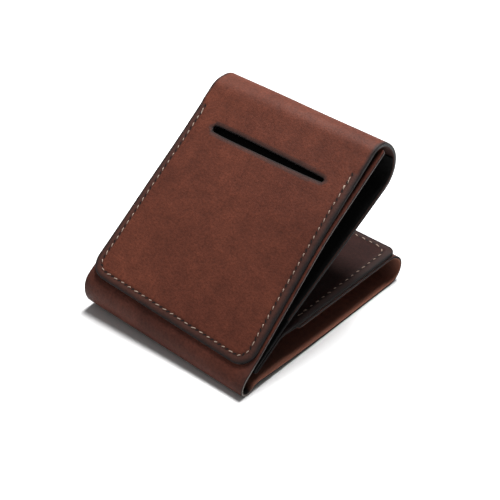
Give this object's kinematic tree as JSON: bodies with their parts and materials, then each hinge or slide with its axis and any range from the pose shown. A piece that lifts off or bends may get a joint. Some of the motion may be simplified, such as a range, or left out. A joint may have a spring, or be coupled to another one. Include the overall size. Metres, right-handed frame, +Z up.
{
  "type": "bifold wallet",
  "caption": "Half-open bifold leather wallet with an outside card pocket, an inside card panel and two looped banknote sleeves.",
  "frame": {"origin": "on the table under the middle of the object", "axes": "+X along the fold, +Y from the spine to the open side, +Z up"},
  "size_m": [0.088, 0.1058, 0.0786],
  "materials": {
    "pocket_leather": "satin",
    "cover_leather": "satin",
    "lining": "matte",
    "thread": "waxed"
  },
  "bodies": {
    "base_half": {"base_cover": "cover_leather", "far_loop": "cover_leather", "return_leg": "cover_leather", "inner_panel": "pocket_leather", "inner_seam_thread": "thread", "spine_fold": "cover_leather", "inner_fold": "pocket_leather"},
    "upper_half": {"upper_cover": "cover_leather", "front_flap": "pocket_leather", "front_seam_thread": "thread", "top_loop": "pocket_leather", "inner_leaf": "pocket_leather", "leaf_lining": "lining"}
  },
  "joints": [
    {"name": "spine_hinge", "type": "hinge", "parent": "base_half", "child": "upper_half", "pos_m": [0, -0.0529, 0.0043], "axis": [1, 0, 0], "range_deg": [-4, 70], "deforming": ["spine_fold", "inner_fold"]}
  ]
}
